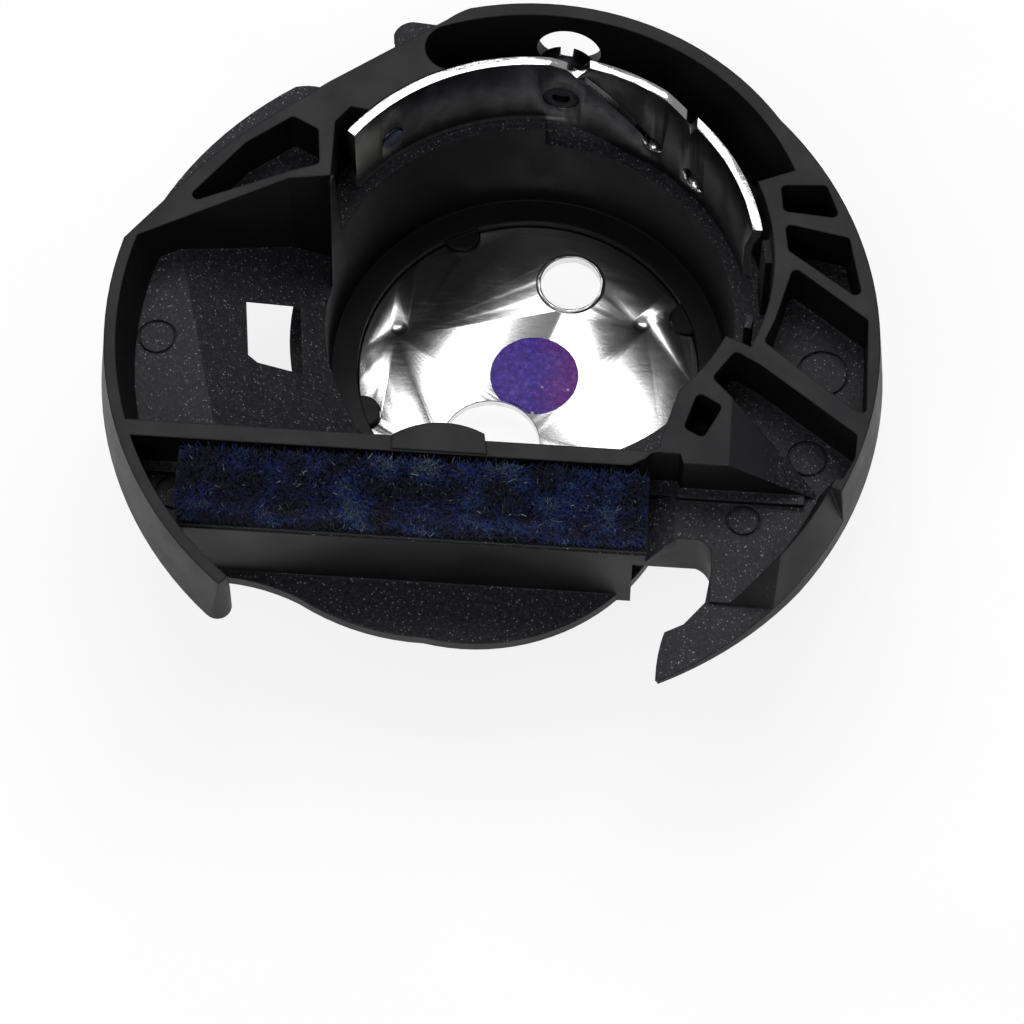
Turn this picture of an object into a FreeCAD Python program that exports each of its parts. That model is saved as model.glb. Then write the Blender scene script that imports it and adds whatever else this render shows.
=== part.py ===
import FreeCAD, Part
import math
import os

from FreeCAD import Vector

# Drop-in bobbin case (inner rotary-hook case) for a horizontal-hook sewing machine.
# Millimetres. Origin: on the bobbin axis, at the underside of the drum. +Z is up, out of
# the bobbin cavity. +Y points to the thread guide, -Y to the pile strip.

# Heights above the underside of the drum
PLATE_BOTTOM = 0.7
PLATE_TOP = 1.2
LEDGE_TOP = 1.7
APRON_BOTTOM = 5.8
APRON_TOP = 6.5
HOUSING_BOTTOM = 6.0
RAMP_LOW = 5.6
CHANNEL_FLOOR = 7.0
SKIRT_BOTTOM = 7.7
FLOOR_BOTTOM = 10.1
FLOOR_TOP = 11.0
RIM_TOP = 14.0

# Bobbin cavity and drum, round about the origin
CAVITY_R_LOW = 10.75
CAVITY_R_TOP = 11.3
DRUM_R = 12.6
DRUM_LENGTH = 4.2
SHOULDER_R = 12.9
OPEN_FLOOR_R = 8.6
CHANNEL_R = 14.85
HOUSING_R = 15.6

# Round top rim, which is not centred on the bobbin
RIM_CENTRE = (-1.65, -4.95)
RIM_R_LOW = 20.45
RIM_R_TOP = 20.05
RIM_INNER_LOW = 18.65
SEAT_INNER_LOW = 19.0
RIM_INNER_TOP = 19.45
FLANGE_R = 20.05

# Straight front wall between the cavity and the pile strip, and the strip's seat
WALL_BACK = -11.45
WALL_FRONT = -12.35
STRIP_LEFT = -17.1
STRIP_RIGHT = 6.95
SEAT_FRONT = -15.9
SKIRT_T = 1.0

# Steel floor plate
PLATE_R = 9.3
PLATE_FIT = 0.05
SMALL_HOLE = (1.96, 5.75, 1.66)
LARGE_HOLE = (-1.75, -4.6, 2.65)
NOTCH_R = 0.95
NOTCH_ANGLES = (117.0, 24.5, 200.0)
MARK_CENTRE = (0.33, -0.2)
MARK_R = 2.45
MARK_T = 0.04

# Bent steel thread guide, and the leaf spring behind it
GUIDE_CENTRE = (0.0, -0.1)
GUIDE_R = 11.75
GUIDE_T = 0.5
GUIDE_FIT = 0.05
GUIDE_TAIL = [(0.0, 15.0), (1.75, 15.0), (3.35, 10.2), (3.35, 7.0), (0.0, 7.0)]
GUIDE_HOLES = [(59.2, 9.35, 0.62), (45.2, 8.75, 0.78)]
SPRING_GAP = 0.2
SPRING_T = 0.15
SPRING_START = 60.0
SPRING_END = 141.0

# Tension screw and locating pin, which lie along radii of the guide
SCREW_ANGLE = 85.5
SCREW_HEIGHT = 10.87
SHANK_R = 0.95
HEAD_R = 1.45
HEAD_T = 1.1
PIN_ANGLE = 132.7
PIN_HEIGHT = 10.8
PIN_R = 0.7
PIN_DEPTH = 2.0

# Pile strip
BACKING_T = 0.25
PILE_TOP = 13.95
PILE_FRONT = -15.75

# Marks of the mould's ejector pins on the floors: centre and radius
EJECTOR_MARKS = [
    (-19.25, -4.8, 0.96),
    (-17.35, -13.9, 0.96),
    (11.84, -13.54, 0.82),
    (15.62, -4.6, 1.3),
    (15.0, -9.7, 1.0),
]

FAR = 40.0


def disc(radius, low, high, centre=(0.0, 0.0)):
    """Upright cylinder between two heights."""
    return Part.makeCylinder(radius, high - low, Vector(centre[0], centre[1], low))


def box(x_range, y_range, z_range):
    """Block given by its low and high limits."""
    size = [limits[1] - limits[0] for limits in (x_range, y_range, z_range)]
    return Part.makeBox(size[0], size[1], size[2], Vector(x_range[0], y_range[0], z_range[0]))


def sector(inner, outer, start, end, low, high, centre=(0.0, 0.0)):
    """Part of an upright ring, between two angles in degrees."""
    axis = Vector(0, 0, 1)
    base = Vector(centre[0], centre[1], low)
    piece = Part.makeCylinder(outer, high - low, base, axis, end - start)
    piece.rotate(base, axis, start)
    return piece.cut(disc(inner, low, high, centre))


def outline(start, steps, height):
    """Closed wire at a height. A step is a point, or a (through, end) pair for an arc."""
    def place(point):
        return Vector(point[0], point[1], height)

    edges = []
    here = start
    for step in list(steps) + [start]:
        if isinstance(step[0], tuple):
            through, end = step
            edges.append(Part.Arc(place(here), place(through), place(end)).toShape())
        else:
            end = step
            edges.append(Part.makeLine(place(here), place(end)))
        here = end
    return Part.Wire(edges)


def slab(points, low, high, corner=0.0):
    """Upright prism over a plan outline, with its upright edges rounded by corner."""
    prism = Part.Face(outline(points[0], points[1:], low)).extrude(Vector(0, 0, high - low))
    if corner == 0.0:
        return prism
    upright = [edge for edge in prism.Edges if abs(edge.BoundBox.ZLength - (high - low)) < 1e-6]
    return prism.makeFillet(corner, upright)


def front_profile(points, y_low, y_high):
    """Prism along Y over an outline given as (x, z) points."""
    corners = [Vector(x, y_low, z) for x, z in points]
    face = Part.Face(Part.makePolygon(corners + corners[:1]))
    return face.extrude(Vector(0, y_high - y_low, 0))


def side_profile(points, x_low, x_high):
    """Prism along X over an outline given as (y, z) points."""
    corners = [Vector(x_low, y, z) for y, z in points]
    face = Part.Face(Part.makePolygon(corners + corners[:1]))
    return face.extrude(Vector(x_high - x_low, 0, 0))


def polar(centre, radius, angle):
    """Plan point at a radius and an angle in degrees."""
    turn = math.radians(angle)
    return (centre[0] + radius * math.cos(turn), centre[1] + radius * math.sin(turn))


def radial_rod(radius, inner, outer, angle, height):
    """Cylinder lying along a radius of the thread guide."""
    turn = math.radians(angle)
    direction = Vector(math.cos(turn), math.sin(turn), 0)
    x, y = polar(GUIDE_CENTRE, inner, angle)
    return Part.makeCylinder(radius, outer - inner, Vector(x, y, height), direction)


def joined(shapes):
    """Union of several overlapping shapes, with its seams removed."""
    return shapes[0].multiFuse(shapes[1:]).removeSplitter()


# ---------------------------------------------------------------- case body

# Inner edge of the claw, from the seat's front edge round the notch to the claw's tip
CLAW_EDGE = [
    (7.0, SEAT_FRONT),
    (8.5, -14.78),
    (9.58, -14.78),
    ((10.17, -15.22), (10.38, -16.12)),
    (10.1, -18.35),
    (9.08, -19.65),
    (8.13, -20.17),
    ((7.88, -21.37), (7.8, -22.75)),
    (7.95, -22.9),
]

# Left ramp, in X and Z, from the tray floor down to the cavity
RAMP_TOP_X = -17.05
RAMP_LOW_X = -8.75
RAMP_SKEW = 15.0
RAMP_T = 1.3


def ramp_prism(profile):
    """Prism along the ramp, whose edges are slightly turned from Y."""
    prism = front_profile(profile, -FAR, FAR)
    prism.rotate(Vector(RAMP_TOP_X, -5, 0), Vector(0, 0, 1), RAMP_SKEW)
    return prism


def tray_rear(offset=0.0):
    """Front face of the slanting rib behind the left tray, from right to left."""
    return [(-10.8, 3.91 + offset), (-12.98, 3.58 + offset), (-20.6, -0.47 + offset)]


def drum():
    """Wall and floor ring round the bobbin cavity, a little thicker above the hook's cup."""
    return disc(DRUM_R, 0, DRUM_LENGTH).fuse(disc(SHOULDER_R, DRUM_LENGTH, FLOOR_TOP))


def tier():
    """Wide round top, before its pockets are sunk, with the finger and the claw."""
    base = Vector(RIM_CENTRE[0], RIM_CENTRE[1], FLOOR_BOTTOM)
    plate = Part.makeCone(RIM_R_LOW, RIM_R_TOP, RIM_TOP - FLOOR_BOTTOM, base)
    below = [(-FAR, SEAT_FRONT)] + CLAW_EDGE + [(7.95, -FAR), (-FAR, -FAR)]
    gap = slab(below, FLOOR_BOTTOM - 1, RIM_TOP + 1)
    finger = sector(SEAT_INNER_LOW, RIM_R_LOW + 0.5, 190, 229, FLOOR_BOTTOM - 1, RIM_TOP + 1, RIM_CENTRE)
    tip = polar(RIM_CENTRE, SEAT_INNER_LOW + 0.72, 229)
    rounded = disc(0.72, FLOOR_BOTTOM - 1, RIM_TOP + 1, tip)
    return plate.cut(gap.cut(joined([finger, rounded])))


def chord_cut():
    """Space outside the straight upper left side of the rim."""
    line = [
        (-3.9, 15.15),
        ((-4.7, 14.75), (-5.4, 14.2)),
        (-11.38, 9.79),
        (-14.68, 7.06),
        ((-15.99, 5.9), (-17.61, 4.12)),
        (-22.2, -1.93),
        (-FAR, -1.93),
        (-FAR, FAR),
        (-3.9, FAR),
    ]
    return slab(line, FLOOR_TOP, RIM_TOP + 1)


def flange_trim():
    """Spaces beyond the edge of the thin flange, outside the straight side of the rim."""
    edge = sector(FLANGE_R, RIM_R_LOW + 1, 119, 167, 0, FLOOR_TOP, RIM_CENTRE)
    end = slab([(-14.0, 15), (-13.5, 11.25), ((-11.9, 11.3), (-10.5, 10.42)), (-8.3, 12.3), (-8.3, 15)],
               0, FLOOR_TOP)
    return [edge, end]


def rim_inside(low):
    """Space inside the rim, whose wall leans outwards from a radius at the floor."""
    base = Vector(RIM_CENTRE[0], RIM_CENTRE[1], FLOOR_TOP)
    lower = Part.makeCone(low, RIM_INNER_TOP, RIM_TOP - FLOOR_TOP, base)
    return lower.fuse(disc(RIM_INNER_TOP, RIM_TOP, RIM_TOP + 1, RIM_CENTRE))


def claw_slope():
    """Space above the claw, whose rim drops steeply to the floor before the tip."""
    slope = [(-16.7, RIM_TOP), (-18.5, FLOOR_TOP), (-25, FLOOR_TOP), (-25, RIM_TOP + 1)]
    return side_profile(slope + [(-16.7, RIM_TOP + 1)], 5, 20)


def rib_slope():
    """Space above the rib behind the claw, which runs down towards the outer wall."""
    slope = [(10.9, RIM_TOP), (15.5, FLOOR_TOP), (17.0, FLOOR_TOP), (17.0, RIM_TOP + 1), (10.9, RIM_TOP + 1)]
    plan = slab([(10.5, -12.3), (10.5, -7.3), (17.3, -11.6), (17.3, -12.3)], 0, RIM_TOP + 2)
    return front_profile(slope, -12.3, -6.0).common(plan).common(rim_inside(RIM_INNER_LOW))


def claw_underside():
    """Space below the claw, whose underside rises towards the tip."""
    return side_profile([(-17.0, 0), (-17.0, FLOOR_BOTTOM), (-25, FLOOR_BOTTOM + 0.8), (-25, 0)], 7.0, 20)


def claw_bevel():
    """Space outside the claw's rim, whose outer side leans inwards above the flange."""
    base = Vector(RIM_CENTRE[0], RIM_CENTRE[1], FLOOR_TOP)
    axis = Vector(0, 0, 1)
    outside = Part.makeCylinder(RIM_R_LOW + 1, 4.0, base, axis, 40)
    outside.rotate(base, axis, -64)
    return outside.cut(Part.makeCone(20.35, 19.02, 4.0, base))


def stop_lug():
    """Stop on the outside of the rim, which keeps the case from turning."""
    plan = [
        (-8.3, 11.6),
        (-8.4, 14.6),
        ((-8.15, 15.55), (-7.4, 15.93)),
        (-4.8, 15.7),
        (-2.6, 15.4),
        (-2.6, 12.0),
    ]
    lug = slab(plan, FLOOR_BOTTOM, FLOOR_TOP + 1.3)
    return lug.cut(disc(CHANNEL_R, 0, RIM_TOP))


def spring_housing():
    """Outer wall and floor of the channel behind the thread guide, and its two ends."""
    inner = DRUM_R - 0.3
    middle = sector(inner, HOUSING_R, -4, 124, HOUSING_BOTTOM, FLOOR_TOP)
    upper = sector(inner, HOUSING_R, 30, 112, FLOOR_BOTTOM, RIM_TOP)
    left = sector(inner, DRUM_R + 1.2, 120, 158, HOUSING_BOTTOM + 1, FLOOR_TOP)
    right = sector(inner, DRUM_R + 1.2, -30, 0, HOUSING_BOTTOM, FLOOR_TOP)
    return [middle, upper, left, right]


def front_apron():
    """Wall below the strip's seat, and the lip that sticks out at its foot."""
    front = SEAT_FRONT
    left = -16.6
    right = 6.3
    lip = [
        (left, WALL_FRONT),
        (left, -16.4),
        ((-12.8, -16.6), (-10.8, -17.3)),
        ((-7.6, -18.65), (-4.2, -19.1)),
        ((2.7, -18.1), (7.25, -13.6)),
        (7.25, -9.0),
        (0.0, -11.8),
        (-10.0, -9.0),
    ]
    shelf = slab(lip, APRON_BOTTOM, APRON_TOP).cut(disc(DRUM_R - 0.3, 0, RIM_TOP))
    wall = box((left, right), (front, front + SKIRT_T), (APRON_BOTTOM, FLOOR_TOP))
    right_wall = box((right - SKIRT_T, right), (front, -9.0), (APRON_BOTTOM, FLOOR_TOP))
    right_wall = right_wall.cut(disc(DRUM_R - 0.3, 0, RIM_TOP))
    left_wall = box((left, left + SKIRT_T), (front, WALL_FRONT), (APRON_BOTTOM, FLOOR_TOP))
    return [shelf, wall, right_wall, left_wall]


def claw_skirt():
    """Wall that hangs below the edge of the notch."""
    plan = [
        (6.0, -14.78),
        (9.58, -14.78),
        ((10.17, -15.22), (10.38, -16.12)),
        (10.24, -17.2),
        (10.24 + SKIRT_T, -17.2),
        (10.38 + SKIRT_T, -15.9),
        ((11.0, -14.45), (9.8, -14.78 + SKIRT_T)),
        (6.0, -14.78 + SKIRT_T),
    ]
    return slab(plan, SKIRT_BOTTOM, FLOOR_TOP)


def ramp_shell():
    """Sloping floor between the left tray and the cavity, with its side walls."""
    inside = slab(tray_rear(1.0) + [(-20.6, WALL_FRONT), (-3.0, WALL_FRONT), (-3.0, 3.0)], 0, FLOOR_TOP)
    rear = slab(tray_rear(0.0) + tray_rear(1.0)[::-1], 0, FLOOR_TOP)
    front = box((-20.6, 0.0), (WALL_FRONT, WALL_BACK), (0, FLOOR_TOP))
    floor = ramp_prism([
        (RAMP_TOP_X - RAMP_T, FLOOR_BOTTOM),
        (RAMP_TOP_X, FLOOR_TOP),
        (RAMP_LOW_X, RAMP_LOW),
        (0.0, RAMP_LOW),
        (0.0, RAMP_LOW - RAMP_T),
        (RAMP_LOW_X - 0.8, RAMP_LOW - RAMP_T),
    ])
    above = ramp_prism([
        (RAMP_TOP_X - RAMP_T, FLOOR_BOTTOM),
        (RAMP_LOW_X - 0.8, RAMP_LOW - RAMP_T),
        (0.0, RAMP_LOW - RAMP_T),
        (0.0, FLOOR_TOP),
        (RAMP_TOP_X - RAMP_T, FLOOR_TOP),
    ])
    return [floor.common(inside), rear.common(above), front.common(above)]


def left_tray():
    """Space of the left tray and its ramp, open to the cavity."""
    plan = tray_rear() + [
        (-FAR, tray_rear()[-1][1] - 8),
        (-FAR, WALL_BACK),
        (0.0, WALL_BACK),
        (0.0, 0.0),
        (-10.8, 0.0),
    ]
    flat = slab(plan, FLOOR_TOP, RIM_TOP + 1).common(rim_inside(RIM_INNER_LOW))
    slope = ramp_prism([
        (RAMP_TOP_X, FLOOR_TOP),
        (RAMP_LOW_X, RAMP_LOW),
        (0.0, RAMP_LOW),
        (0.0, FLOOR_TOP + 1),
        (RAMP_TOP_X, FLOOR_TOP + 1),
    ])
    return flat.fuse(slope.common(slab(plan, 0, RIM_TOP)))


def side_window():
    """Opening through the ramp, whose rear side leans back towards its lower end."""
    front = [(-11.72, -4.6), (-14.03, -4.9), (-14.6, -4.6)]
    top = outline((-14.89, -2.35), [(-11.99, -2.45)] + front, FLOOR_TOP)
    bottom = outline((-15.34, 1.1), [(-12.43, 1.0)] + front, RAMP_LOW - 0.6)
    return Part.makeLoft([bottom, top], True, True)


def bobbin_cavity():
    """Slightly tapered space for the bobbin, and the seat of the floor plate."""
    depth = RIM_TOP + 1 - LEDGE_TOP
    wide = CAVITY_R_TOP + (CAVITY_R_TOP - CAVITY_R_LOW) / (RIM_TOP - LEDGE_TOP)
    taper = Part.makeCone(CAVITY_R_LOW, wide, depth, Vector(0, 0, LEDGE_TOP))
    seat = disc(PLATE_R + PLATE_FIT, PLATE_BOTTOM, LEDGE_TOP + 0.1)
    return [taper, seat, disc(OPEN_FLOOR_R, -1, PLATE_TOP)]


def plate_lobes(extra):
    """Half-round lobes that hold the floor plate's edge, or the notches round them."""
    lobes = []
    for angle in NOTCH_ANGLES:
        centre = polar((0, 0), PLATE_R + 0.1, angle)
        lobes.append(disc(NOTCH_R + extra, PLATE_BOTTOM, PLATE_TOP + 0.3, centre))
    return lobes


def front_corner():
    """Space between the round cavity and the straight front wall, at upper level."""
    plan = [(8.3, -7.3), (7.35, -10.8), ((7.2, -11.3), (6.7, WALL_BACK)), (0.0, WALL_BACK), (0.0, -5)]
    return slab(plan, FLOOR_TOP, RIM_TOP + 1)


def guide_recess():
    """Space for the thread guide, with the channel for its spring and screw."""
    outer = GUIDE_R + GUIDE_T + GUIDE_FIT
    left = sector(10, outer, 89, 149, 8.5, RIM_TOP + 1, GUIDE_CENTRE)
    corner = slab([(-10.8, 3.92), (-10.85, 7.3), (-10.1, 8.3), (-8.0, 8.0), (-8.0, 3.92)], 8.5, RIM_TOP + 1)
    right = sector(10, outer, -4, 89, CHANNEL_FLOOR, RIM_TOP + 1, GUIDE_CENTRE)
    slot_outer = outer + SPRING_GAP + SPRING_T + 0.3
    slot = sector(11, slot_outer, 110, 143, 9.3, 12.9, GUIDE_CENTRE)
    gap = sector(10.4, 12.75, -23, 30, CHANNEL_FLOOR, RIM_TOP + 1)
    channel = sector(11.9, CHANNEL_R, 23.5, 112, CHANNEL_FLOOR, RIM_TOP + 1)
    end_r = (CHANNEL_R - 12.0) / 2
    end = disc(end_r, CHANNEL_FLOOR, RIM_TOP + 1, polar((0, 0), CHANNEL_R - end_r, 112))
    return [left, corner, right, slot, gap, channel, end]


def screw_clearances():
    """Screwdriver hole for the tension screw, and the blind bore of the locating pin."""
    driver = radial_rod(HEAD_R + 0.3, 12.0, 17.5, SCREW_ANGLE, SCREW_HEIGHT)
    bore = radial_rod(PIN_R, GUIDE_R, GUIDE_R + PIN_DEPTH, PIN_ANGLE, PIN_HEIGHT)
    return [driver, bore]


def rim_pockets():
    """Moulded pockets between the ribs of the top tier."""
    plans = [
        [(12.9, 4.95), (15.3, 5.1), (16.1, 3.1), (13.1, 3.35)],
        [(13.2, 2.6), (16.6, 1.95), (17.45, -1.9), (13.45, 0.95)],
        [(12.4, -4.62), (12.91, -3.3), (13.75, 0.0), (17.72, -2.96), (17.79, -8.81), (14.88, -6.58)],
        [(9.83, -6.94), (10.95, -5.26), (12.28, -6.02), (17.36, -9.78), (17.3, -11.1), (16.6, -12.6),
         (11.08, -8.22)],
        [(8.5, -9.98), (9.13, -7.83), (10.45, -8.58), (9.53, -10.53)],
        [(-18.6, 1.49), (-15.45, 5.64), (-13.11, 7.48), (-11.69, 6.74), (-11.45, 4.6), (-12.86, 4.07)],
    ]
    return [slab(plan, FLOOR_TOP, RIM_TOP + 1, 0.3) for plan in plans]


def strip_seat():
    """Space of the pile strip's seat, open to the front, and the claw's upper side."""
    seat = [(-FAR, WALL_FRONT), (6.0, WALL_FRONT), (6.0, -FAR), (-FAR, -FAR)]
    inside = rim_inside(SEAT_INNER_LOW)
    claw = [
        (5.9, WALL_FRONT),
        (6.7, -11.88),
        ((6.95, -11.6), (7.45, -11.5)),
        (8.4, -11.5),
        (8.6, -12.05),
        (20.0, -12.05),
        (20.0, -FAR),
        (5.9, -FAR),
    ]
    side = [(STRIP_RIGHT, 10.4), (8.35, FLOOR_TOP), (8.35, RIM_TOP), (STRIP_RIGHT, RIM_TOP)]
    gutter = front_profile(side, SEAT_FRONT, WALL_FRONT)
    return [
        slab(seat, FLOOR_TOP, RIM_TOP + 1).common(inside),
        slab(claw, FLOOR_TOP, RIM_TOP + 1).common(rim_inside(RIM_INNER_LOW)),
        gutter,
    ]


def thread_lump():
    """Low rounded hump on top of the front wall, where it keeps the bobbin down."""
    plan = [
        (-6.3, WALL_FRONT + 0.1),
        (-6.3, WALL_BACK),
        ((-3.9, -10.6), (-1.6, -11.1)),
        (-1.4, WALL_FRONT + 0.1),
    ]
    return slab(plan, FLOOR_TOP - 2, RIM_TOP + 0.1)


def wall_foot():
    """Low steps along the foot of the front wall, beyond both ends of the strip."""
    inside = disc(SEAT_INNER_LOW + 0.1, 0, RIM_TOP + 1, RIM_CENTRE)
    height = (FLOOR_TOP - 0.1, FLOOR_TOP + 0.35)
    left = box((-20.5, STRIP_LEFT - 0.1), (WALL_FRONT - 0.6, WALL_FRONT), height)
    right = box((8.35, 14.9), (WALL_FRONT - 0.25, WALL_FRONT + 0.3), height)
    return [left.common(inside), right]


def claw_steps():
    """Facet on the upper side of the claw, which rises gently towards its front step."""
    low = FLOOR_TOP - 0.1
    high = FLOOR_TOP + 0.2
    return side_profile([(-15.0, low), (-15.0, FLOOR_TOP), (-18.4, high), (-18.4, low)], 10.3, 13.45)


def gap_lugs():
    """Two small lugs that hold the tail of the thread guide in its slot."""
    large = sector(12.35, 12.9, 5, 11.5, CHANNEL_FLOOR - 0.1, 12.4)
    small = sector(11.6, 12.0, -12, -8, CHANNEL_FLOOR - 0.1, 11.6)
    return [large, small]


def ejector_marks():
    """Shallow ring grooves left by the mould's ejector pins."""
    grooves = []
    for x, y, radius in EJECTOR_MARKS:
        ring = disc(radius + 0.06, FLOOR_TOP - 0.12, FLOOR_TOP + 0.1, (x, y))
        grooves.append(ring.cut(disc(radius - 0.06, 0, RIM_TOP, (x, y))))
    return grooves


def case_body():
    """Whole black moulding."""
    solid = joined([drum(), tier(), stop_lug(), claw_skirt()]
                   + spring_housing() + front_apron() + ramp_shell())
    spaces = [chord_cut(), claw_slope(), rib_slope(), claw_bevel(), left_tray(), side_window()]
    spaces += [front_corner(), claw_underside()] + flange_trim()
    spaces += bobbin_cavity() + guide_recess() + screw_clearances() + rim_pockets() + strip_seat()
    for space in spaces:
        solid = solid.cut(space)
    solid = joined([solid, thread_lump()] + plate_lobes(0.0) + wall_foot() + gap_lugs() + [claw_steps()])
    for groove in ejector_marks():
        solid = solid.cut(groove)
    return solid


# ---------------------------------------------------------------- other pieces

def floor_plate():
    """Steel disc under the bobbin, with two holes, three edge notches and two dimples."""
    plate = disc(PLATE_R, PLATE_BOTTOM, PLATE_TOP)
    for x, y, radius in (SMALL_HOLE, LARGE_HOLE):
        plate = plate.cut(disc(radius, 0, LEDGE_TOP, (x, y)))
    for notch in plate_lobes(PLATE_FIT):
        plate = plate.cut(notch)
    for x, y in [(-7.3, 2.3), (6.0, 3.4)]:
        dimple = Part.makeSphere(1.2, Vector(x, y, PLATE_TOP + 1.08))
        plate = plate.cut(dimple)
    x, y, radius = SMALL_HOLE
    lip = disc(radius + 0.22, PLATE_TOP - 0.05, PLATE_TOP + 0.1, (x, y))
    lip = lip.cut(disc(radius, 0, LEDGE_TOP, (x, y)))
    return plate.fuse(lip).removeSplitter()


def tension_mark():
    """Dab of paint on the floor plate."""
    dab = disc(MARK_R, PLATE_TOP, PLATE_TOP + MARK_T, MARK_CENTRE)
    x, y, radius = LARGE_HOLE
    return dab.cut(disc(radius + 0.05, 0, LEDGE_TOP, (x, y)))


def thread_guide():
    """Curved steel strip with a slanting thread slit, cut from a ring."""
    outer = GUIDE_R + GUIDE_T
    ring = sector(GUIDE_R, outer, 5, 146, 7.2, RIM_TOP + 0.4, GUIDE_CENTRE)
    shape = [
        (-10.2, 9.6), (-9.9, 8.9), (-9.4, 8.6), (0.7, 8.6), (2.6, 7.95), (4.6, 7.2),
        (12.5, 7.2), (12.5, RIM_TOP), (8.35, RIM_TOP), (8.0, 12.9), (7.75, RIM_TOP - 0.1),
        (6.6, RIM_TOP + 0.35), (2.45, RIM_TOP + 0.3), (1.75, 13.1), (1.2, 13.7), (0.3, RIM_TOP),
        (-10.2, RIM_TOP),
    ]
    strip = ring.common(front_profile(shape, 0, 20))
    strip = strip.cut(side_profile(GUIDE_TAIL, 9, 13))
    strip = strip.cut(front_profile([(1.75, 13.0), (2.3, 13.45), (6.2, 9.55), (5.9, 9.3)], 5, 20))
    for angle, height, radius in GUIDE_HOLES:
        strip = strip.cut(radial_rod(radius, 10, 14, angle, height))
    strip = strip.cut(radial_rod(SHANK_R + 0.03, 10, 14, SCREW_ANGLE, SCREW_HEIGHT))
    return strip.cut(radial_rod(PIN_R, 10, 14, PIN_ANGLE, PIN_HEIGHT))


def tension_spring():
    """Leaf that presses the thread on the back of the guide."""
    inner = GUIDE_R + GUIDE_T + SPRING_GAP
    leaf = sector(inner, inner + SPRING_T, SPRING_START, SPRING_END, 9.6, 12.6, GUIDE_CENTRE)
    taper = front_profile([(2.5, 13.2), (2.5, 12.7), (4.0, 12.3), (7.5, 11.4), (7.5, 13.2)], 5, 20)
    lower = front_profile([(2.5, 9.0), (2.5, 9.5), (7.5, 10.3), (7.5, 9.0)], 5, 20)
    leaf = leaf.cut(taper).cut(lower)
    leaf = leaf.cut(radial_rod(SHANK_R + 0.25, 10, 15, SCREW_ANGLE, SCREW_HEIGHT))
    return leaf.cut(radial_rod(PIN_R + 0.06, 10, 15, PIN_ANGLE, PIN_HEIGHT))


def tension_screw():
    """Slotted cheese-head screw that sets the thread tension."""
    seat = GUIDE_R + GUIDE_T + SPRING_GAP + SPRING_T + 0.45
    end = seat + HEAD_T
    shank = radial_rod(SHANK_R, GUIDE_R + 0.02, seat + 0.5, SCREW_ANGLE, SCREW_HEIGHT)
    head = radial_rod(HEAD_R, seat, end, SCREW_ANGLE, SCREW_HEIGHT)
    slot = Part.makeBox(1.0, 0.7, 4.0, Vector(end - 0.6, -0.35, -2.0))
    slot.rotate(Vector(0, 0, 0), Vector(0, 0, 1), SCREW_ANGLE)
    slot.translate(Vector(GUIDE_CENTRE[0], GUIDE_CENTRE[1], SCREW_HEIGHT))
    socket = radial_rod(0.45, GUIDE_R - 0.1, GUIDE_R + 0.25, SCREW_ANGLE, SCREW_HEIGHT)
    return shank.fuse(head).removeSplitter().cut(slot).cut(socket)


def locating_pin():
    """Steel pin pressed into the case, which holds the guide and the spring's fixed end."""
    pin = radial_rod(PIN_R, GUIDE_R - 0.12, GUIDE_R + PIN_DEPTH, PIN_ANGLE, PIN_HEIGHT)
    return pin.makeChamfer(0.08, [max(pin.Edges, key=lambda edge: -edge.CenterOfMass.Length)])


def strip_backing():
    """Thin carrier that sticks the pile to its seat."""
    depth = (PILE_FRONT - 0.1, WALL_FRONT - 0.05)
    return box((STRIP_LEFT, STRIP_RIGHT), depth, (FLOOR_TOP, FLOOR_TOP + BACKING_T))


def pile_strip():
    """Dense pile that stands on the carrier."""
    low = FLOOR_TOP + BACKING_T
    return box((STRIP_LEFT, STRIP_RIGHT), (PILE_FRONT, WALL_FRONT - 0.05), (low, PILE_TOP))


NODES = {
    "case_body": case_body,
    "floor_plate": floor_plate,
    "tension_mark": tension_mark,
    "thread_guide": thread_guide,
    "tension_spring": tension_spring,
    "tension_screw": tension_screw,
    "locating_pin": locating_pin,
    "strip_backing": strip_backing,
    "pile_strip": pile_strip,
}

os.makedirs("parts", exist_ok=True)
for node, make in NODES.items():
    shape = make()
    shape.exportStep("parts/" + node + ".step")
    print(node, "solids", len(shape.Solids), "volume", round(shape.Volume, 3), "valid", shape.isValid())
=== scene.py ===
import math
import random

import bpy
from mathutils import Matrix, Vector, noise


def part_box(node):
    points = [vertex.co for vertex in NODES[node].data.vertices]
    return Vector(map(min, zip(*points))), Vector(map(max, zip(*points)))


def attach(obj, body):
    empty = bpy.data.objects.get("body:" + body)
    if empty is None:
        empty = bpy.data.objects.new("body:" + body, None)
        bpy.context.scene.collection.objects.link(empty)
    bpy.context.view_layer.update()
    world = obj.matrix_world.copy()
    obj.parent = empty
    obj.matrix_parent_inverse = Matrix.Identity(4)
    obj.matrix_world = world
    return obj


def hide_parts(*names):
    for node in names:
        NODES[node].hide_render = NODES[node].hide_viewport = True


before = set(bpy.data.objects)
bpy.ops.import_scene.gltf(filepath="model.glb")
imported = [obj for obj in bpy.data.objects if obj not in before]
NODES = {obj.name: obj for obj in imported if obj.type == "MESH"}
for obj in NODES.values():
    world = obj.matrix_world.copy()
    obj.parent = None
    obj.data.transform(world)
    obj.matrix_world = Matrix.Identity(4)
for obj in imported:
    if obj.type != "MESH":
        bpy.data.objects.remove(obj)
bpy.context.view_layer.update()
MM = 0.001

# The plate's large hole, which the paint stays clear of
LARGE_HOLE = Vector((-1.75 * MM, -4.6 * MM, 0))
LARGE_HOLE_CLEAR_R = 2.70 * MM

# How far the pile's dark root block stands in from the strip's own faces
PILE_INSET = 0.36 * MM

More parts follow.
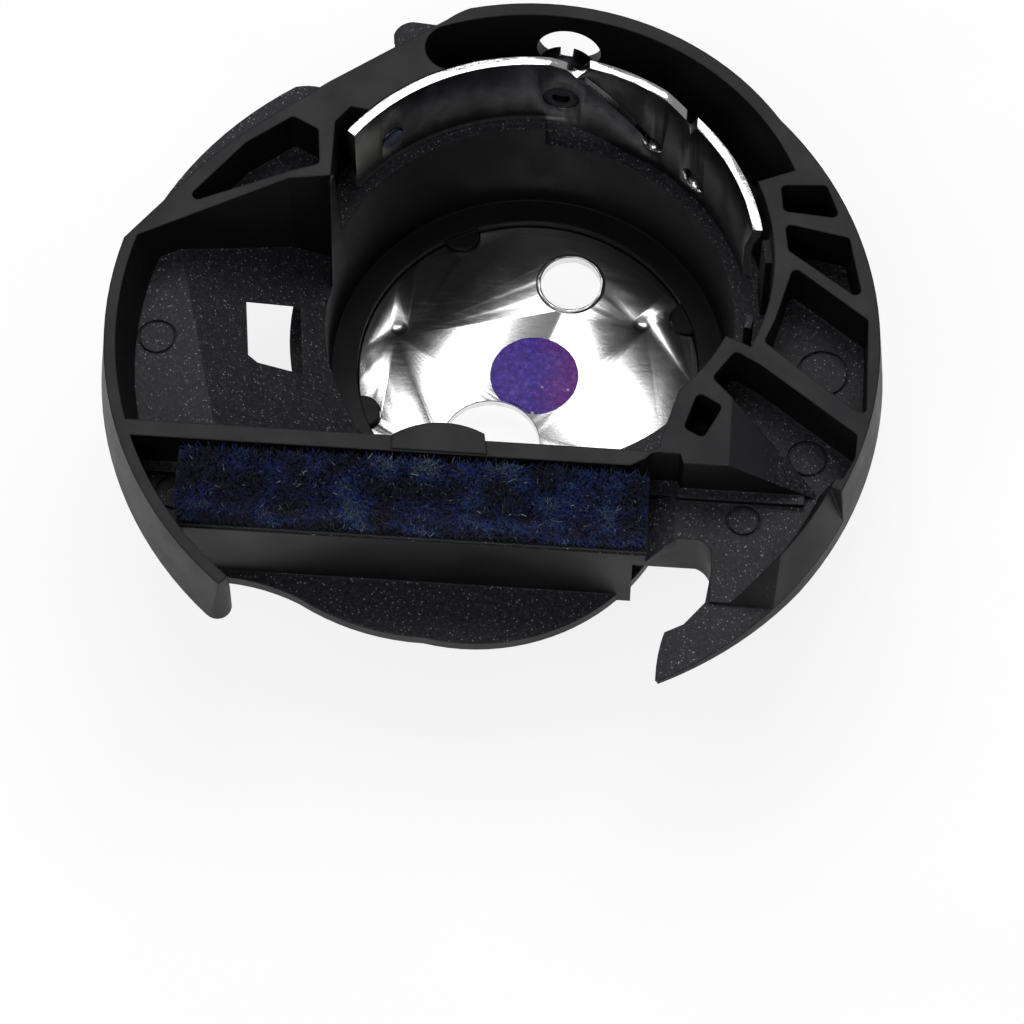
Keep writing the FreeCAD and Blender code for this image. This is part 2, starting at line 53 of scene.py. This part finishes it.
# A fibre's random pick below each value puts it on the top, then the front, then the left
# end; the rest grow from the right end
TOP_BELOW = 0.64
FRONT_BELOW = 0.92
LEFT_BELOW = 0.96
FIBRES_PER_PIECE = 10000
FIBRE_JOINTS = 3
STRAY_LIGHT_FIBRES = 0.012

# ------------------------------------------------------------------ node helpers


class Shader:
    """Small helper that lays out one procedural material."""

    def __init__(self, name):
        self.material = bpy.data.materials.new(name)
        self.material.use_nodes = True
        self.tree = self.material.node_tree
        self.bsdf = self.tree.nodes["Principled BSDF"]
        self.coords = self.tree.nodes.new("ShaderNodeTexCoord").outputs["Object"]

    def node(self, kind, values=None, **settings):
        made = self.tree.nodes.new(kind)
        for key, value in settings.items():
            setattr(made, key, value)
        for key, value in (values or {}).items():
            self.give(made.inputs[key], value)
        return made

    def give(self, socket, value):
        if isinstance(value, bpy.types.NodeSocket):
            self.tree.links.new(value, socket)
        else:
            socket.default_value = value

    def set(self, **values):
        for key, value in values.items():
            self.give(self.bsdf.inputs[key.replace("_", " ")], value)

    def noise(self, scale, detail=3.0, roughness=0.55, vector=None, distortion=0.0):
        """Noise value; scale is in cells per millimetre."""
        made = self.node("ShaderNodeTexNoise", {
            "Vector": vector or self.coords,
            "Scale": scale * 1000.0,
            "Detail": detail,
            "Roughness": roughness,
            "Distortion": distortion,
        })
        return made.outputs["Fac"]

    def cells(self, scale, feature="F1", output="Distance", randomness=1.0):
        made = self.node("ShaderNodeTexVoronoi", {
            "Vector": self.coords,
            "Scale": scale * 1000.0,
            "Randomness": randomness,
        }, feature=feature)
        return made.outputs[output]

    def ramp(self, value, stops, mode="LINEAR"):
        made = self.node("ShaderNodeValToRGB", {"Fac": value})
        made.color_ramp.interpolation = mode
        points = made.color_ramp.elements
        while len(points) < len(stops):
            points.new(0.5)
        for point, (where, shade) in zip(points, stops):
            point.position = where
            point.color = shade if len(shade) == 4 else (*shade, 1.0)
        return made.outputs["Color"]

    def band(self, value, low, high, to_low=0.0, to_high=1.0):
        """Maps low..high of a value on to to_low..to_high, clamped and smoothed."""
        made = self.node("ShaderNodeMapRange", {
            "Value": value,
            "From Min": low,
            "From Max": high,
            "To Min": to_low,
            "To Max": to_high,
        }, interpolation_type="SMOOTHSTEP")
        return made.outputs["Result"]

    def math(self, operation, first, second=0.0, clamp=False):
        made = self.node("ShaderNodeMath", operation=operation, use_clamp=clamp)
        self.give(made.inputs[0], first)
        self.give(made.inputs[1], second)
        return made.outputs[0]

    def mix(self, share, first, second):
        """Mixed colour."""
        made = self.node("ShaderNodeMix", data_type="RGBA")
        self.give(made.inputs["Factor"], share)
        self.give(made.inputs["A"], first)
        self.give(made.inputs["B"], second)
        return made.outputs["Result"]

    def bump(self, height, distance_mm, strength=1.0, normal=None):
        values = {"Height": height, "Distance": distance_mm * MM, "Strength": strength}
        if normal is not None:
            values["Normal"] = normal
        return self.node("ShaderNodeBump", values).outputs["Normal"]

    def rounded(self, radius_mm):
        """Normal that rounds sharp edges over a small radius."""
        return self.node("ShaderNodeBevel", {"Radius": radius_mm * MM}, samples=6).outputs["Normal"]

    def position(self):
        """X, Y and Z of the surface point, in metres."""
        return self.node("ShaderNodeSeparateXYZ", {"Vector": self.coords}).outputs

    def facing_up(self):
        """Z part of the surface's own normal."""
        geometry = self.node("ShaderNodeNewGeometry").outputs["True Normal"]
        return self.node("ShaderNodeSeparateXYZ", {"Vector": geometry}).outputs["Z"]


def grey(value, blue=1.0):
    return (value, value, value * blue, 1.0)


# ------------------------------------------------------------------ materials

def moulded_plastic():
    """Black moulding: spark-eroded floors, lighter partly as painted light and with painted glint specks,
    smooth charcoal rib tops, and walls painted darker as shade.
    """
    s = Shader("moulded_plastic")
    up = s.facing_up()
    height = s.position()["Z"]
    # Up-facing surfaces below 3 mm, deep in the cavity, take the wall colour: painted shade.
    clear_of_cavity_shade = s.band(height, 3.0 * MM, 5.5 * MM)
    flat = s.math("MULTIPLY", s.band(up, 0.45, 0.85), clear_of_cavity_shade)
    high = s.band(height, 12.2 * MM, 13.0 * MM)
    grainy = s.math("MULTIPLY", flat, s.math("SUBTRACT", 1.0, high))
    rib = s.math("MULTIPLY", flat, high)

    grain = s.noise(4.6, detail=5.0, roughness=0.72)
    coarse = s.noise(1.7, detail=3.0, roughness=0.6)
    fine = s.noise(11.0, detail=3.0, roughness=0.7)
    patches = s.noise(0.3, detail=4.0, roughness=0.6)
    # Bright specks on the grainy floors are painted glints.
    speck = s.math("MULTIPLY", s.band(s.cells(5.5), 0.26, 0.10), s.band(grain, 0.46, 0.56))

    # Floors are coloured far lighter than walls of the same plastic: partly the spark-eroded grain's own
    # tone, partly painted light; the near-black walls are painted shade.
    floor_shade = s.ramp(grain, [
        (0.3, grey(0.012, 1.2)),
        (0.55, grey(0.034, 1.18)),
        (0.75, grey(0.095, 1.12)),
    ])
    wall_painted_shade = s.ramp(patches, [(0.25, grey(0.0032, 1.2)), (0.75, grey(0.0062, 1.25))])
    rib_shade = s.ramp(fine, [(0.25, grey(0.016, 1.14)), (0.75, grey(0.026, 1.14))])
    shade = s.mix(grainy, wall_painted_shade, floor_shade)
    shade = s.mix(rib, shade, rib_shade)
    # Mixes the painted glint specks into the floor colour.
    shade = s.mix(s.math("MULTIPLY", speck, s.math("MULTIPLY", grainy, 0.8)), shade, grey(0.62, 1.04))

    rough_floor = s.band(grain, 0.3, 0.7, 0.30, 0.46)
    rough_rest = s.band(patches, 0.3, 0.7, 0.46, 0.58)
    rough = s.math("ADD", s.math("MULTIPLY", rough_floor, grainy),
                   s.math("MULTIPLY", rough_rest, s.math("SUBTRACT", 1.0, grainy)))

    relief = s.math("ADD", s.math("MULTIPLY", grain, 0.8), s.math("MULTIPLY", coarse, 0.5))
    depth = s.math("ADD", s.math("MULTIPLY", grainy, 0.9), 0.12)
    normal = s.bump(s.math("MULTIPLY", relief, depth), 0.07, 0.9, s.rounded(0.14))
    normal = s.bump(s.math("MULTIPLY", fine, depth), 0.014, 0.7, normal)
    s.set(Base_Color=shade, Roughness=rough, Specular_IOR_Level=0.29, Normal=normal)
    return s.material


def polished_steel(name="polished_steel", tint=0.80, rough=0.16):
    """Bright rolled sheet with a slight dish, haze and hairline scratches."""
    s = Shader(name)
    wave = s.noise(0.10, detail=1.0, roughness=0.3)
    ripple = s.noise(0.9, detail=4.0, roughness=0.6, distortion=0.5)
    grit = s.noise(7.0, detail=3.0)
    stretch = s.node("ShaderNodeMapping", {
        "Vector": s.coords,
        "Rotation": (0, 0, 0.45),
        "Scale": (1.0, 11.0, 11.0),
    })
    hairs = s.noise(0.7, detail=6.0, roughness=0.8, vector=stretch.outputs["Vector"])
    cross = s.node("ShaderNodeMapping", {
        "Vector": s.coords,
        "Rotation": (0, 0, -0.9),
        "Scale": (1.0, 16.0, 16.0),
    })
    marks = s.band(s.noise(0.5, detail=4.0, vector=cross.outputs["Vector"]), 0.60, 0.68)
    haze = s.band(s.noise(0.45, detail=4.0), 0.4, 0.7)
    shade = s.mix(haze, grey(tint, 1.01), grey(tint * 0.93, 1.015))
    shade = s.mix(s.math("MULTIPLY", marks, 0.12), shade, grey(0.45, 1.02))
    roughness = s.math("ADD", s.math("MULTIPLY", haze, 0.05), s.band(hairs, 0.45, 0.7, rough, rough + 0.07))
    normal = s.bump(wave, 0.01, 1.0)
    normal = s.bump(ripple, 0.002, 1.0, normal)
    normal = s.bump(hairs, 0.0012, 1.0, normal)
    normal = s.bump(grit, 0.0025, 1.0, normal)
    s.set(Base_Color=shade, Metallic=1.0, Roughness=roughness, Normal=normal)
    return s.material


def guide_steel():
    """Formed steel whose inner face is painted dark as shade, with a painted highlight along its lower
    edge.
    """
    s = Shader("guide_steel")
    x, y, z = (s.position()[axis] for axis in "XYZ")
    geometry = s.node("ShaderNodeNewGeometry").outputs["True Normal"]
    facing = s.node("ShaderNodeSeparateXYZ", {"Vector": geometry}).outputs
    outward = s.math("ADD", s.math("MULTIPLY", facing["X"], x), s.math("MULTIPLY", facing["Y"], y))
    inward = s.math("SUBTRACT", 0.0, outward)
    # The inner face, picked by the way it faces, gets the dark colour below: painted shade; the other faces
    # stay bright.
    face = s.band(inward, 4.0 * MM, 9.0 * MM)
    cloud = s.noise(0.45, detail=4.0, roughness=0.55, distortion=0.4)
    grit = s.noise(5.0, detail=4.0, roughness=0.7)
    along = s.node("ShaderNodeMapping", {"Vector": s.coords, "Scale": (1.0, 1.0, 9.0)})
    lines = s.noise(1.2, detail=5.0, roughness=0.7, vector=along.outputs["Vector"])
    speck = s.math("MULTIPLY", s.band(s.cells(3.2), 0.16, 0.07), s.band(cloud, 0.45, 0.65))
    dark = s.ramp(cloud, [(0.25, grey(0.045, 1.02)), (0.55, grey(0.085, 1.02)), (0.8, grey(0.14, 0.98))])
    left = s.band(s.math("ADD", x, s.math("MULTIPLY", cloud, 3.0 * MM)), -5.5 * MM, -8.2 * MM)
    dark = s.mix(left, dark, (0.27, 0.262, 0.245, 1.0))
    dark = s.mix(s.math("MULTIPLY", speck, 0.5), dark, grey(0.32))
    # A pale line along the lower edge, left of x = 2 mm, is a painted highlight.
    low = s.band(s.math("SUBTRACT", z, s.math("MULTIPLY", grit, 0.2 * MM)), 9.0 * MM, 8.7 * MM)
    dark = s.mix(s.math("MULTIPLY", low, s.band(x, 2.0 * MM, 0.0)), dark, grey(0.7))
    shade = s.mix(face, grey(0.86, 0.995), dark)
    rough = s.math("ADD", s.math("MULTIPLY", face, 0.22), s.band(lines, 0.4, 0.7, 0.12, 0.24))
    normal = s.bump(cloud, 0.05, 0.8)
    normal = s.bump(lines, 0.004, 0.8, normal)
    normal = s.bump(grit, 0.012, 0.7, normal)
    s.set(Base_Color=shade, Metallic=1.0, Roughness=rough, Normal=normal)
    return s.material


def turned_steel(name, dark, light, rough):
    """Blackened screw and pin steel, worn lighter in small patches."""
    s = Shader(name)
    stain = s.noise(1.4, detail=4.0)
    grit = s.noise(9.0, detail=3.0)
    rings = s.noise(6.0, detail=3.0, roughness=0.6)
    shade = s.ramp(stain, [(0.35, dark), (0.62, [(a + b) / 2 for a, b in zip(dark, light)]), (0.8, light)])
    normal = s.bump(grit, 0.006, 0.8)
    normal = s.bump(rings, 0.004, 0.6, normal)
    roughness = s.band(stain, 0.3, 0.7, rough, rough + 0.14)
    s.set(Base_Color=shade, Metallic=1.0, Roughness=roughness, Normal=normal)
    return s.material


def mark_paint():
    """Thick glossy violet paint with small bubbles and painted glints."""
    s = Shader("mark_paint")
    x = s.position()["X"]
    cloud = s.noise(0.75, detail=4.0, roughness=0.6, distortion=0.6)
    grain = s.noise(3.4, detail=5.0, roughness=0.7)
    blue = s.ramp(grain, [
        (0.28, (0.035, 0.018, 0.26)),
        (0.55, (0.13, 0.06, 0.60)),
        (0.8, (0.34, 0.20, 0.90)),
    ])
    red = s.ramp(grain, [
        (0.25, (0.08, 0.015, 0.20)),
        (0.55, (0.26, 0.05, 0.46)),
        (0.85, (0.58, 0.20, 0.66)),
    ])
    side = s.band(s.math("ADD", x, s.math("MULTIPLY", cloud, 3.5 * MM)), 2.0 * MM, 4.0 * MM)
    shade = s.mix(side, blue, red)
    # Near-white spots are painted glints.
    glint = s.math("MULTIPLY", s.band(s.cells(1.35), 0.17, 0.10), s.band(cloud, 0.42, 0.55))
    fleck = s.band(s.cells(3.6), 0.20, 0.09)
    shade = s.mix(s.math("MULTIPLY", fleck, 0.45), shade, (0.62, 0.26, 0.80, 1.0))
    shade = s.mix(glint, shade, (0.95, 0.74, 0.97, 1.0))
    relief = s.math("ADD", grain, s.math("MULTIPLY", glint, 0.6))
    s.set(Base_Color=shade, Roughness=s.band(cloud, 0.3, 0.7, 0.25, 0.42), Normal=s.bump(relief, 0.05, 0.8),
          Specular_IOR_Level=0.22)
    return s.material


def pile_yarn():
    """Blue-black cut pile, each fibre with its own tone, painted darker towards its root as shade."""
    s = Shader("pile")
    tone = s.node("ShaderNodeAttribute", attribute_name="tone").outputs["Fac"]
    tip = s.node("ShaderNodeAttribute", attribute_name="tip").outputs["Fac"]
    shade = s.ramp(tone, [
        (0.0, (0.004, 0.005, 0.012)),
        (0.34, (0.009, 0.012, 0.036)),
        (0.56, (0.013, 0.026, 0.12)),
        (0.72, (0.021, 0.05, 0.30)),
        (0.84, (0.045, 0.09, 0.15)),
        (0.95, (0.14, 0.20, 0.23)),
        (1.0, (0.55, 0.62, 0.68)),
    ])
    # Fibres darken towards the root: painted shade of the surrounding pile.
    dark = s.mix(0.7, shade, (0.0015, 0.002, 0.005, 1.0))
    grain = s.noise(9.0, detail=2.0)
    shade = s.mix(s.band(tip, 0.0, 0.55), dark, shade)
    s.set(Base_Color=shade, Roughness=s.band(grain, 0.2, 0.8, 0.6, 0.8), Sheen_Weight=0.08,
          Sheen_Roughness=0.4, Sheen_Tint=(0.35, 0.45, 0.8, 1.0), Normal=s.bump(grain, 0.01, 0.5))
    return s.material


def pile_root_and_painted_shade():
    """Near-black root of the pile, seen only between fibres: partly the pile's own dark roots, partly
    painted shade.
    """
    s = Shader("pile_root_and_painted_shade")
    tuft = s.noise(2.4, detail=4.0, roughness=0.65)
    shade = s.ramp(tuft, [(0.35, (0.003, 0.0038, 0.010)), (0.7, (0.009, 0.014, 0.045))])
    s.set(Base_Color=shade, Roughness=s.band(tuft, 0.3, 0.7, 0.8, 0.95), Normal=s.bump(tuft, 0.15, 0.8))
    return s.material


def woven_backing():
    """Dark woven carrier with stray specks."""
    s = Shader("backing")
    x, y, z = (s.position()[axis] for axis in "XYZ")
    warp = s.math("SINE", s.math("MULTIPLY", x, 2 * math.pi / (0.32 * MM)))
    weft = s.math("SINE", s.math("MULTIPLY", s.math("ADD", y, z), 2 * math.pi / (0.28 * MM)))
    weave = s.math("MULTIPLY", warp, weft)
    stray = s.noise(2.5, detail=4.0)
    shade = s.ramp(s.math("ADD", s.math("MULTIPLY", weave, 0.14), stray), [
        (0.3, (0.003, 0.0033, 0.006)),
        (0.6, (0.010, 0.011, 0.016)),
        (0.85, (0.05, 0.054, 0.062)),
    ])
    speck = s.band(s.cells(1.6), 0.16, 0.09)
    shade = s.mix(s.math("MULTIPLY", speck, s.band(stray, 0.5, 0.6)), shade, grey(0.5))
    s.set(Base_Color=shade, Roughness=s.band(stray, 0.2, 0.8, 0.65, 0.9), Normal=s.bump(weave, 0.03, 0.8))
    return s.material


# ------------------------------------------------------------------ carried-over CAD nodes

def dress(node, material):
    mesh = NODES[node].data
    mesh.materials.clear()
    mesh.materials.append(material)


def round_edges(node, width_mm, segments=3, angle=28.0):
    """Rounds a CAD node's sharp edges with modifiers, which leave its own mesh as packed."""
    piece = NODES[node]
    weld = piece.modifiers.new("weld", "WELD")
    weld.merge_threshold = 0.002 * MM
    planar = piece.modifiers.new("planar", "DECIMATE")
    planar.decimate_type = "DISSOLVE"
    planar.angle_limit = math.radians(1.0)
    bevel = piece.modifiers.new("bevel", "BEVEL")
    bevel.width = width_mm * MM
    bevel.segments = segments
    bevel.limit_method = "ANGLE"
    bevel.angle_limit = math.radians(angle)
    bevel.miter_outer = "MITER_ARC"
    bevel.use_clamp_overlap = True
    bevel.harden_normals = True
    piece.data.shade_smooth()


PLASTIC = moulded_plastic()
STEEL = polished_steel()
GUIDE_STEEL = guide_steel()
SPRING_STEEL = polished_steel("spring_steel", 0.55, 0.18)
SCREW_STEEL = turned_steel("screw_steel", (0.004, 0.0045, 0.006), (0.05, 0.05, 0.055), 0.35)
PIN_STEEL = turned_steel("pin_steel", (0.03, 0.04, 0.07), (0.14, 0.17, 0.23), 0.25)
MARK_PAINT = mark_paint()
BACKING = woven_backing()
PILE = pile_yarn()
PILE_ROOT_AND_PAINTED_SHADE = pile_root_and_painted_shade()
dress("case_body", PLASTIC)
dress("floor_plate", STEEL)
dress("thread_guide", GUIDE_STEEL)
dress("tension_spring", SPRING_STEEL)
dress("tension_screw", SCREW_STEEL)
dress("locating_pin", PIN_STEEL)
NODES["case_body"].data.shade_smooth()
round_edges("floor_plate", 0.05, 2)
round_edges("thread_guide", 0.08, 2)
round_edges("tension_spring", 0.03, 2)
round_edges("tension_screw", 0.06, 2)
round_edges("locating_pin", 0.04, 2)

# ------------------------------------------------------------------ replaced pieces


def build(name, points, faces, material, smooth=True):
    """New mesh object, in metres, from points and faces."""
    mesh = bpy.data.meshes.new(name)
    mesh.from_pydata([tuple(point) for point in points], [], faces)
    mesh.materials.append(material)
    if smooth:
        mesh.shade_smooth()
    made = bpy.data.objects.new(name, mesh)
    bpy.context.scene.collection.objects.link(made)
    return made


def paint_dab():
    """Domed dab of paint with a ragged edge, kept clear of the large hole."""
    low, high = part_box("tension_mark")
    centre = Vector(((low.x + high.x) / 2, (low.y + high.y) / 2, 0))
    radius = (high.x - low.x) / 2
    rings, spokes = 12, 120
    points = [(centre.x, centre.y, high.z)]
    for ring in range(1, rings + 1):
        share = ring / rings
        for spoke in range(spokes):
            turn = 2 * math.pi * spoke / spokes
            out = Vector((math.cos(turn), math.sin(turn), 0))
            ragged = 0.012 * noise.noise(out * 5.0) + 0.012 * noise.noise(out * 14.0)
            reach = radius * (0.985 + ragged) * share
            point = centre + out * min(reach, radius)
            away = point - LARGE_HOLE
            if away.length < LARGE_HOLE_CLEAR_R:
                point = LARGE_HOLE + away.normalized() * LARGE_HOLE_CLEAR_R
            bump = 0.10 * noise.noise(point * 1800.0)
            rise = (1.0 - share ** 6) * (0.9 + bump)
            points.append((point.x, point.y, low.z + (high.z - low.z) * max(0.0, min(1.0, rise))))
    faces = [(0, 1 + spoke, 1 + (spoke + 1) % spokes) for spoke in range(spokes)]
    for ring in range(rings - 1):
        inner = 1 + ring * spokes
        outer = inner + spokes
        for spoke in range(spokes):
            after = (spoke + 1) % spokes
            faces.append((inner + spoke, outer + spoke, outer + after, inner + after))
    dab = build("paint_dab", points, faces, MARK_PAINT)
    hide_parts("tension_mark")
    return dab


def pile_core():
    """Uneven dark root block of the pile, inside the CAD strip's box; its near-black colour is partly
    painted shade.
    """
    low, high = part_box("pile_strip")
    inset = PILE_INSET
    across, deep = 150, 24
    points, faces = [], []
    for row in range(deep + 1):
        for column in range(across + 1):
            x = low.x + inset + (high.x - low.x - 2 * inset) * column / across
            y = low.y + inset + (high.y - low.y - 2 * inset) * row / deep
            rise = 0.85 + 0.04 * noise.noise(Vector((x, y, 0)) * 900.0)
            points.append((x, y, low.z + (high.z - low.z) * rise))
    for row in range(deep):
        for column in range(across):
            first = row * (across + 1) + column
            faces.append((first, first + 1, first + across + 2, first + across + 1))
    rim = list(range(across + 1))
    rim += [row * (across + 1) + across for row in range(1, deep + 1)]
    rim += [deep * (across + 1) + column for column in range(across - 1, -1, -1)]
    rim += [row * (across + 1) for row in range(deep - 1, 0, -1)]
    base = len(points)
    for index in rim:
        points.append((points[index][0], points[index][1], low.z))
    count = len(rim)
    for step in range(count):
        after = (step + 1) % count
        faces.append((rim[after], rim[step], base + step, base + after))
    faces.append(tuple(base + step for step in reversed(range(count))))
    return build("pile_core", points, faces, PILE_ROOT_AND_PAINTED_SHADE)


def fibre_root(low, high):
    """Random root on the core's top, front or either end, with the way its face points."""
    inset = PILE_INSET
    x = random.uniform(low.x + inset, high.x - inset)
    y = random.uniform(low.y + inset, high.y - inset)
    z = random.uniform(low.z, high.z - inset)
    pick = random.random()
    if pick < TOP_BELOW:
        return Vector((x, y, high.z - inset)), Vector((0, 0, 1))
    if pick < FRONT_BELOW:
        return Vector((x, low.y + inset, z)), Vector((0, -1, 0))
    if pick < LEFT_BELOW:
        return Vector((low.x + inset, y, z)), Vector((-1, 0, 0))
    return Vector((high.x - inset, y, z)), Vector((1, 0, 0))


def pile_fibres(count, seed, name):
    """Many short bent fibres, each a narrow three-sided strand standing out of the core."""
    random.seed(seed)
    low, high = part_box("pile_strip")
    points, faces, tones, tips = [], [], [], []
    for _ in range(count):
        root, outward = fibre_root(low, high)
        clump = noise.noise(root * 700.0 + Vector((3.1, 1.7, 0.4)))
        swirl = noise.noise(root * 1500.0 + Vector((9.2, 4.1, 2.2)))
        length = random.uniform(0.34, 0.62) * MM
        scatter = Vector([random.gauss(0, 0.5) for _ in range(3)]) + Vector((0.5 * swirl, 0.0, 0.4 * clump))
        aim = (outward + scatter).normalized()
        bend = Vector([random.gauss(0, 0.35) for _ in range(3)])
        side = aim.orthogonal().normalized()
        other = aim.cross(side)
        thick = random.uniform(0.018, 0.034) * MM
        tone = max(0.0, min(0.93, 0.47 + 0.75 * clump + 0.2 * swirl + random.gauss(0, 0.13)))
        if random.random() < STRAY_LIGHT_FIBRES:
            tone = random.uniform(0.95, 1.0)
        first = len(points)
        for joint in range(FIBRE_JOINTS + 1):
            share = joint / FIBRE_JOINTS
            centre = root + (aim * share + bend * share * share) * length
            wide = thick * (1.0 - 0.55 * share)
            for corner in range(3):
                turn = corner * 2 * math.pi / 3
                point = centre + (side * math.cos(turn) + other * math.sin(turn)) * wide
                points.append([max(low[axis], min(high[axis], point[axis])) for axis in range(3)])
                tones.append(tone)
                tips.append(share)
        for joint in range(FIBRE_JOINTS):
            for corner in range(3):
                after = (corner + 1) % 3
                one = first + joint * 3 + corner
                two = first + joint * 3 + after
                faces.append((one, two, two + 3, one + 3))
        top = first + FIBRE_JOINTS * 3
        faces.append((top, top + 1, top + 2))
    made = build(name, points, faces, PILE)
    for label, values in (("tone", tones), ("tip", tips)):
        layer = made.data.attributes.new(label, "FLOAT", "POINT")
        layer.data.foreach_set("value", values)
    return made


def carrier():
    """Woven carrier under the pile, with a slightly wavy front edge."""
    low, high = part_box("strip_backing")
    steps = 200
    points, faces = [], []
    for step in range(steps + 1):
        x = low.x + (high.x - low.x) * step / steps
        fray = 0.05 * MM * (0.5 + 0.5 * noise.noise(Vector((x * 1600.0, 0.3, 0.0))))
        front = low.y + fray
        section = [
            (front, low.z),
            (front, high.z - 0.02 * MM),
            (front + 0.03 * MM, high.z),
            (high.y, high.z),
            (high.y, low.z),
        ]
        points += [(x, y, z) for y, z in section]
    for step in range(steps):
        here, after = step * 5, (step + 1) * 5
        for side in range(5):
            other = (side + 1) % 5
            faces.append((here + side, after + side, after + other, here + other))
    faces.append((4, 3, 2, 1, 0))
    last = steps * 5
    faces.append((last, last + 1, last + 2, last + 3, last + 4))
    made = build("carrier", points, faces, BACKING, smooth=False)
    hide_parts("strip_backing")
    return made


soft_pieces = [pile_core()]
for index in (1, 2, 3):
    soft_pieces.append(pile_fibres(FIBRES_PER_PIECE, 10 + index, "pile_fibres_" + str(index)))
for piece in soft_pieces:
    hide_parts("pile_strip")
soft_pieces += [paint_dab(), carrier()]
for piece in soft_pieces:
    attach(piece, "case")

# ------------------------------------------------------------------ stage, lights and camera


def plane(name, size, height, material):
    mesh = bpy.data.meshes.new(name)
    half = size / 2
    corners = [(-half, -half, height), (half, -half, height), (half, half, height), (-half, half, height)]
    mesh.from_pydata(corners, [], [(0, 1, 2, 3)])
    made = bpy.data.objects.new(name, mesh)
    bpy.context.scene.collection.objects.link(made)
    made.data.materials.append(material)
    return made


def floor_paper():
    s = Shader("floor_paper")
    tone = s.noise(0.05, detail=2.0)
    shade = s.ramp(tone, [(0.3, grey(0.30)), (0.7, grey(0.32))])
    s.set(Base_Color=shade, Roughness=0.9, Specular_IOR_Level=0.0)
    s.set(Emission_Color=grey(1.0), Emission_Strength=0.82)
    return s.material


def lamp(name, location, target, size, power, shade=(1.0, 1.0, 1.0)):
    data = bpy.data.lights.new(name, "AREA")
    data.shape = "RECTANGLE"
    data.size, data.size_y = size
    data.energy = power
    data.color = shade
    made = bpy.data.objects.new(name, data)
    made.location = location
    direction = Vector(target) - Vector(location)
    made.rotation_euler = direction.to_track_quat("-Z", "Y").to_euler()
    bpy.context.scene.collection.objects.link(made)
    return made


FLOOR_SIZE = 3.0
FLOOR_LEVEL = -0.2 * MM
AIM = (0, 0, 0.01)
plane("floor", FLOOR_SIZE, FLOOR_LEVEL, floor_paper())

world = bpy.data.worlds.new("studio")
world.use_nodes = True
sky = world.node_tree.nodes["Background"].inputs
sky["Color"].default_value = (1.0, 1.0, 1.0, 1.0)
sky["Strength"].default_value = 0.22
bpy.context.scene.world = world
lamp("key", (0.0, 0.20, 0.36), AIM, (0.30, 0.22), 0.50)
lamp("front", (-0.10, -0.30, 0.34), AIM, (0.25, 0.2), 0.35)

# The camera looks down at 60 degrees from the pile strip's side, turned 4 degrees
# towards the claw, from about a quarter of a metre
ELEVATION = math.radians(60.0)
TURN = math.radians(4.0)
camera_data = bpy.data.cameras.new("camera")
camera = bpy.data.objects.new("camera", camera_data)
bpy.context.scene.collection.objects.link(camera)
camera_data.sensor_width = 36.0
camera_data.lens = 158.2
camera_data.shift_x = 0.0186
camera_data.shift_y = -0.163
camera_data.clip_start = 0.01
camera_data.clip_end = 20.0
camera.location = (0.00655, -0.12151, 0.21489)
camera.rotation_euler = (math.pi / 2 - ELEVATION, 0.0, TURN)
bpy.context.scene.camera = camera
bpy.context.scene.view_settings.view_transform = "Standard"
